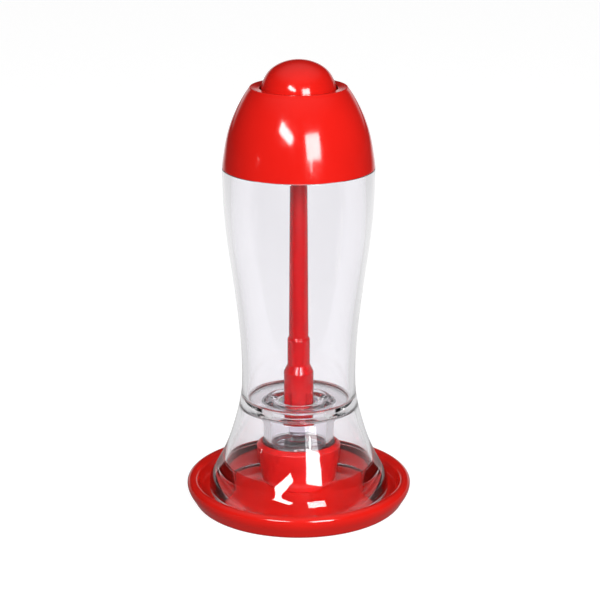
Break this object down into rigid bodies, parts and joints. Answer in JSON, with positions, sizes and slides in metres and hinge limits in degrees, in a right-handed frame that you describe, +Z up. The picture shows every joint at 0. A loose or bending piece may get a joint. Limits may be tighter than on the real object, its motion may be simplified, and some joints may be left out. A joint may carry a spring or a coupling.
{
  "type": "push-button measuring dispenser",
  "caption": "Push-button powder dispenser: clear waisted reservoir with a domed cap, a sprung plunger rod and an outlet tube, standing in a saucer with a closing cup.",
  "frame": {"origin": "middle of the circle that the saucer's foot ring makes on the table", "axes": "+Z up along the dispenser's axis; X and Y are free, because the shape is round"},
  "size_m": [0.086, 0.086, 0.171],
  "materials": {
    "red_gloss": "polished moulded red",
    "red_grained": "finely grained moulded red",
    "red_rod": "moulded red",
    "clear_plastic": "clear, faintly cool",
    "soft_clear": "translucent soft",
    "soft_ring": "soft, matt grey-green",
    "natural_plastic": "natural, slightly translucent",
    "spring_steel": "drawn wire"
  },
  "bodies": {
    "base": {"saucer": "red_gloss", "nonslip_ring": "soft_ring", "closing_cup": "red_grained"},
    "dispenser": {"reservoir_body": "clear_plastic", "throat_ring": "soft_clear", "nozzle_ring": "soft_clear", "dose_nozzle": "clear_plastic"},
    "cap": {"dome_cap": "red_gloss", "cap_liner": "natural_plastic", "neck_seal": "soft_ring", "rod_wiper": "soft_ring", "return_spring": "spring_steel"},
    "plunger": {"push_button": "red_gloss", "button_pin": "spring_steel", "plunger_rod": "red_rod", "dose_valve": "natural_plastic", "valve_ring": "soft_ring"}
  },
  "joints": [
    {"name": "lift_off", "type": "slide", "parent": "base", "child": "dispenser", "axis": [0, 0, 1], "range_m": [0, 0.04]},
    {"name": "cap_off", "type": "slide", "parent": "dispenser", "child": "cap", "axis": [0, 0, 1], "range_m": [0, 0.13]},
    {"name": "button_press", "type": "slide", "parent": "cap", "child": "plunger", "axis": [0, 0, -1], "range_m": [0, 0.008], "stiffness_N_per_m": 350, "springref_m": -0.006, "deforming": ["return_spring"]}
  ]
}
